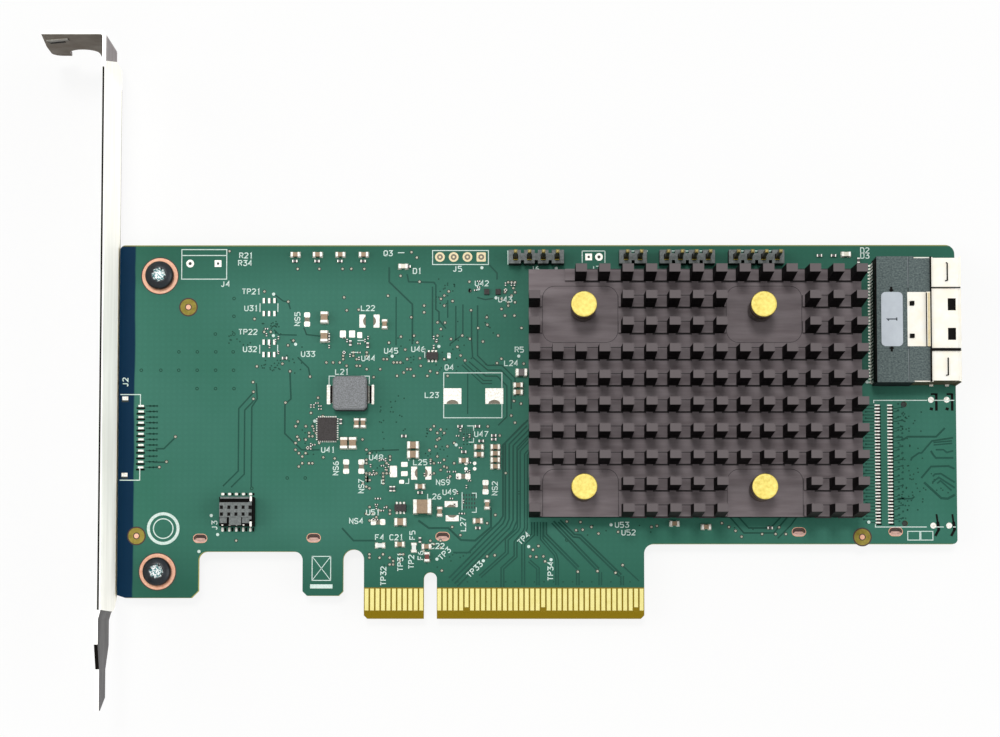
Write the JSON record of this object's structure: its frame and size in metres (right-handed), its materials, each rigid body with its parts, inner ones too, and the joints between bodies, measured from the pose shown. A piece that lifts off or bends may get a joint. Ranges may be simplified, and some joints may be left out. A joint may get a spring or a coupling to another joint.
{
  "type": "raid controller card",
  "caption": "Flat circuit board card with an edge connector, folded full-height mounting bracket, pin-fin heat sink held by sprung brass pins, and a right-angle internal storage port.",
  "frame": {"origin": "centre of the key slot at the lower edge of the edge connector, in the middle of the board's thickness", "axes": "+X along the card away from the bracket, +Y from the edge connector to the card's top edge, +Z out of the component side"},
  "size_m": [0.1666, 0.1215, 0.0204],
  "materials": {
    "solder_mask_board": "glossy green solder mask over glass laminate",
    "gold_plating": "gold plated copper",
    "bracket_steel": "nickel plated sheet steel, satin",
    "screw_steel": "black nickel plated",
    "black_aluminium": "black anodised extrusion",
    "pin_brass": "bright turned brass",
    "spring_steel": "bright spring wire",
    "substrate": "organic package substrate",
    "lid_metal": "nickel plated copper lid",
    "pad_grey": "soft thermal pad",
    "port_plastic": "glass filled dark grey plastic",
    "port_metal": "bright plated sheet",
    "label_film": "pale blue grey film",
    "header_plastic": "black moulded plastic",
    "terminal_tin": "matt tin",
    "inductor_powder": "pressed iron powder, speckled grey",
    "inductor_copper": "oxidised copper strap",
    "chip_epoxy": "black moulding compound",
    "ceramic_tan": "tan fired ceramic",
    "ceramic_grey": "grey brown ferrite",
    "ceramic_white": "white ceramic",
    "diode_glass": "dark red moulding",
    "led_lens": "clear amber lens"
  },
  "bodies": {
    "root": {"circuit_board": "solder_mask_board", "edge_contacts_front": "gold_plating", "edge_contacts_back": "gold_plating", "bracket": "bracket_steel", "bracket_screws": "screw_steel", "heat_sink": "black_aluminium", "push_pins": "pin_brass", "push_pin_springs": "spring_steel", "controller_substrate": "substrate", "controller_lid": "lid_metal", "thermal_pad": "pad_grey", "port_housing": "port_plastic", "port_leads": "terminal_tin", "port_contacts_upper": "gold_plating", "port_contacts_lower": "gold_plating", "port_shell": "port_metal", "port_top_plate": "port_metal", "port_label": "label_film", "pin_header_pins": "gold_plating", "pin_header_body_a": "header_plastic", "pin_header_body_b": "header_plastic", "pin_header_body_c": "header_plastic", "pin_header_body_d": "header_plastic", "program_socket_body": "header_plastic", "program_socket_leads": "terminal_tin", "inductor_body": "inductor_powder", "inductor_terminals": "inductor_copper", "regulator_chip": "chip_epoxy", "leaded_chips": "chip_epoxy", "chip_leads": "terminal_tin", "tiny_chips": "chip_epoxy", "capacitors_0603": "ceramic_tan", "capacitors_0603_ends": "terminal_tin", "capacitors_0805": "ceramic_tan", "capacitors_0805_ends": "terminal_tin", "capacitor_1210": "ceramic_tan", "capacitor_1210_ends": "terminal_tin", "ferrite_bead": "ceramic_grey", "ferrite_bead_ends": "terminal_tin", "fuses": "ceramic_white", "fuses_ends": "terminal_tin", "diode": "diode_glass", "diode_ends": "terminal_tin", "status_leds": "led_lens", "status_leds_ends": "terminal_tin"}
  },
  "joints": []
}
